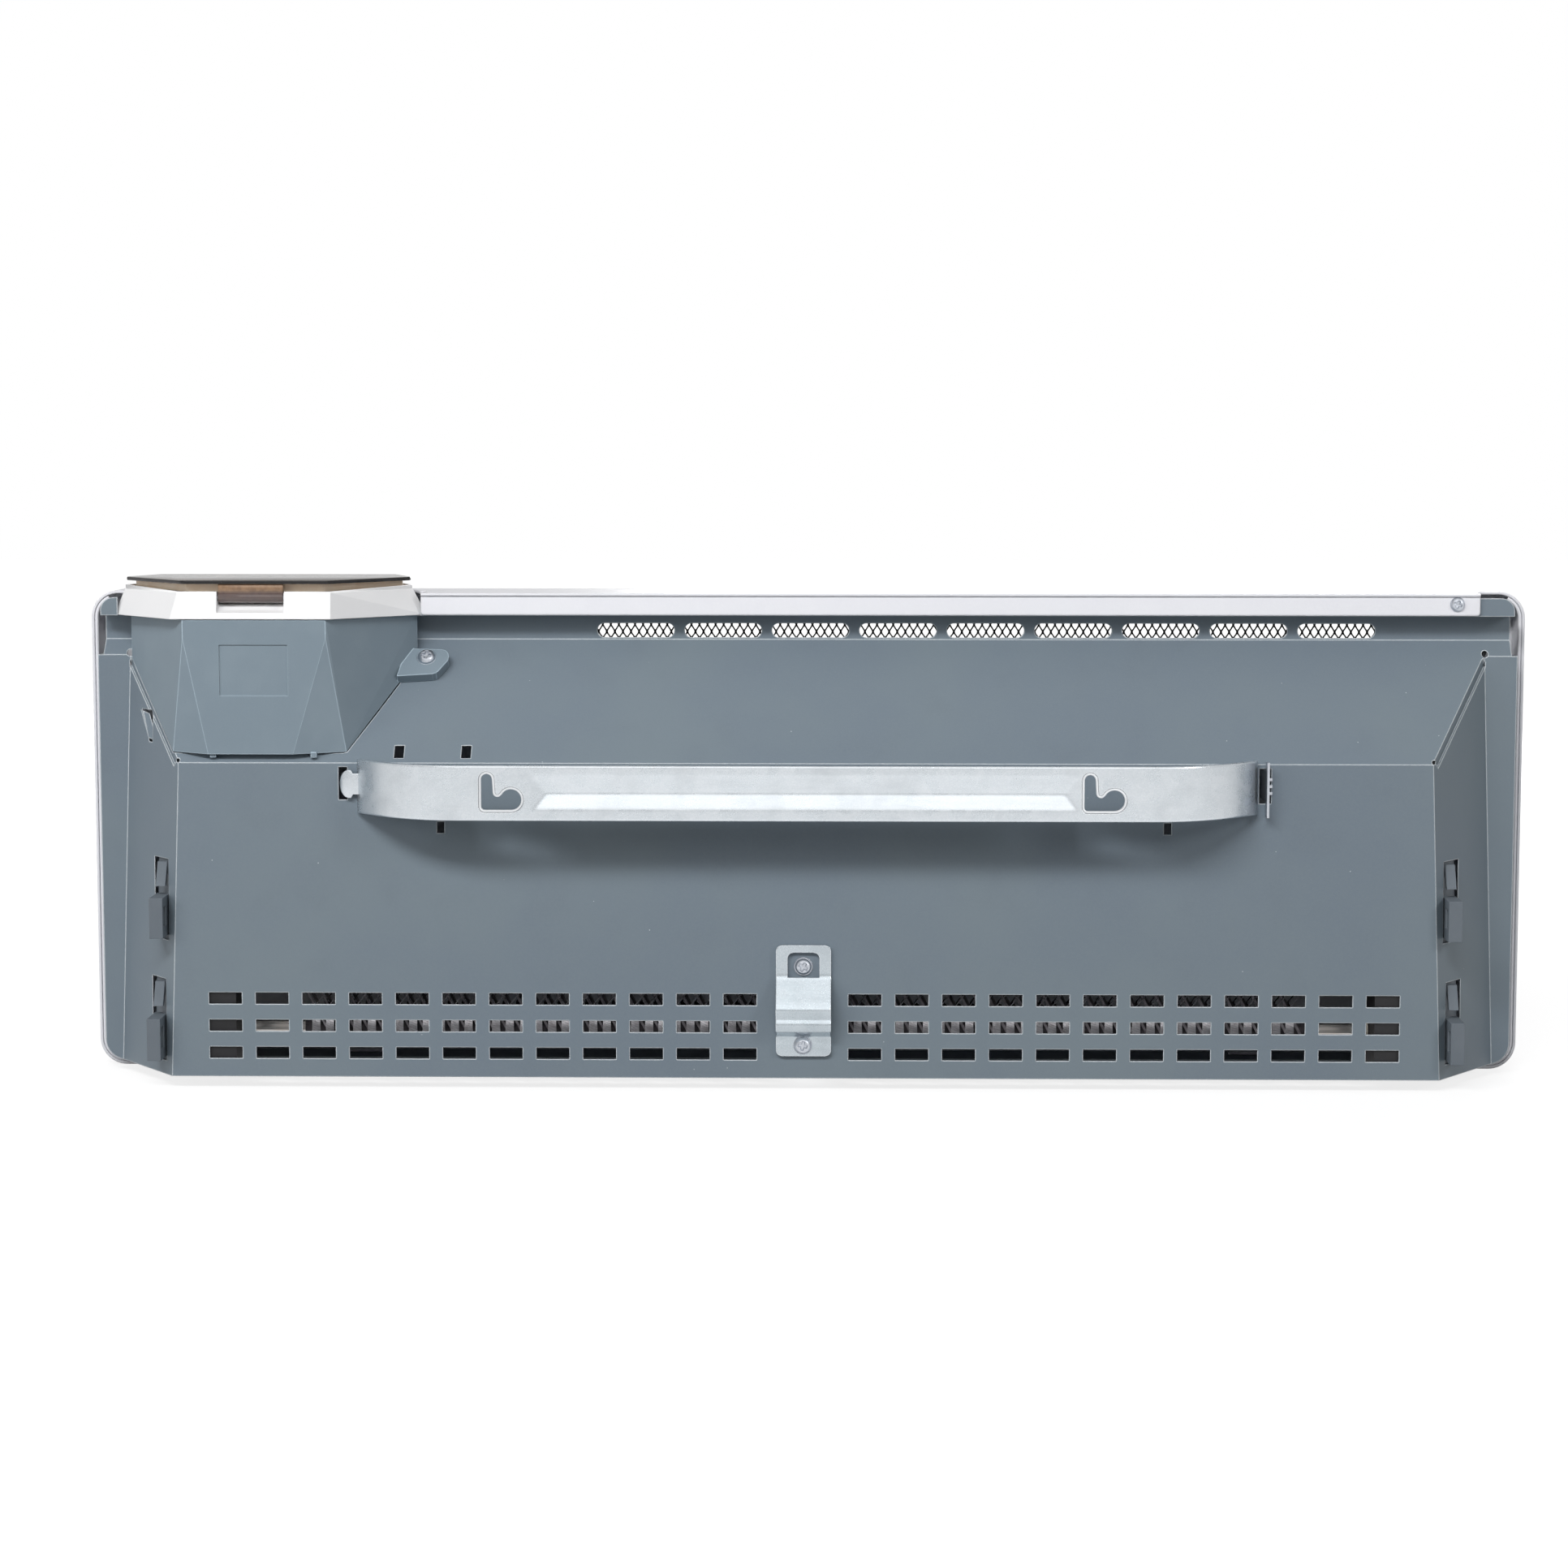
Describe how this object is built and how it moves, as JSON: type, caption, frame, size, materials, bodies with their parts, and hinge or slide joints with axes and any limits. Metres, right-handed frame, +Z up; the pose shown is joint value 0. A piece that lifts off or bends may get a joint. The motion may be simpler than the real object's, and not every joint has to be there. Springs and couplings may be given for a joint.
{
  "type": "plinth heater",
  "caption": "Low wall-hung electric convector with a folded rear cover, slotted air intake and outlet, lidded control unit, arched wall bracket and lower spacer.",
  "frame": {"origin": "centre of the bounding box at its lowest face", "axes": "+Z up, +Y towards the room, -Y towards the wall, +X to the right when looking at the back"},
  "size_m": [0.64, 0.111, 0.222],
  "materials": {
    "white_enamel": "satin",
    "slate_powder_coat": "fine powder coat",
    "dark_steel": "matte",
    "fin_aluminium": "rough cast",
    "bright_steel": "bright zinc plate",
    "zinc_plate": "galvanised",
    "bush_ceramic": "unglazed",
    "cream_plastic": "moulded",
    "slate_plastic": "fine moulded grain",
    "white_plastic": "satin",
    "pale_plastic": "matte",
    "grey_plastic": "matte",
    "dark_glass": "gloss",
    "smoked_clear": "smoked gloss",
    "board_green": "lacquered",
    "wire_red": "silicone",
    "wire_blue": "silicone"
  },
  "bodies": {
    "casing": {"front_panel": "white_enamel", "outlet_mesh": "dark_steel", "rear_cover": "slate_powder_coat", "element_fins": "fin_aluminium", "heating_rod": "bright_steel", "end_bracket_left": "dark_steel", "end_bracket_right": "dark_steel", "rod_bush_left": "bush_ceramic", "rod_bush_right": "bush_ceramic", "centre_bracket": "zinc_plate", "thermal_cutout": "cream_plastic", "control_housing": "slate_plastic", "control_bezel": "white_plastic", "control_face": "pale_plastic", "display_window": "dark_glass", "circuit_board": "board_green", "lid_pin": "bright_steel", "unit_plug": "cream_plastic", "heater_socket": "cream_plastic", "lead_live": "wire_red", "lead_cutout": "wire_red", "lead_neutral": "wire_blue", "wall_bracket": "zinc_plate", "latch_seat": "zinc_plate", "lower_spacer": "zinc_plate", "foot_socket_left_upper": "slate_plastic", "foot_socket_left_lower": "slate_plastic", "foot_socket_right_upper": "slate_plastic", "foot_socket_right_lower": "slate_plastic", "screw_rim": "bright_steel", "screw_lug": "bright_steel", "screw_spacer_upper": "bright_steel", "screw_spacer_lower": "bright_steel"},
    "lid": {"control_lid": "smoked_clear"},
    "power_key": {"button_power": "grey_plastic"},
    "minus_key": {"button_minus": "grey_plastic"},
    "mode_key": {"button_mode": "grey_plastic"},
    "plus_key": {"button_plus": "grey_plastic"},
    "timer_key": {"button_timer": "grey_plastic"},
    "latch": {"latch_spring": "bright_steel"}
  },
  "joints": [
    {"name": "lid_hinge", "type": "hinge", "parent": "casing", "child": "lid", "pos_m": [-0.2389, -0.0223, 0.2146], "axis": [1, 0, 0], "range_deg": [0, 100]},
    {"name": "power_press", "type": "slide", "parent": "casing", "child": "power_key", "axis": [0, 0, -1], "range_m": [0, 0.0008], "stiffness_N_per_m": 300},
    {"name": "minus_press", "type": "slide", "parent": "casing", "child": "minus_key", "axis": [0, 0, -1], "range_m": [0, 0.0008], "stiffness_N_per_m": 300},
    {"name": "mode_press", "type": "slide", "parent": "casing", "child": "mode_key", "axis": [0, 0, -1], "range_m": [0, 0.0008], "stiffness_N_per_m": 300},
    {"name": "plus_press", "type": "slide", "parent": "casing", "child": "plus_key", "axis": [0, 0, -1], "range_m": [0, 0.0008], "stiffness_N_per_m": 300},
    {"name": "timer_press", "type": "slide", "parent": "casing", "child": "timer_key", "axis": [0, 0, -1], "range_m": [0, 0.0008], "stiffness_N_per_m": 300},
    {"name": "latch_flex", "type": "hinge", "parent": "casing", "child": "latch", "pos_m": [0.1997, -0.0067, 0.1336], "axis": [0, 0, 1], "range_deg": [0, 3.5], "stiffness_Nm_per_rad": 0.5}
  ]
}
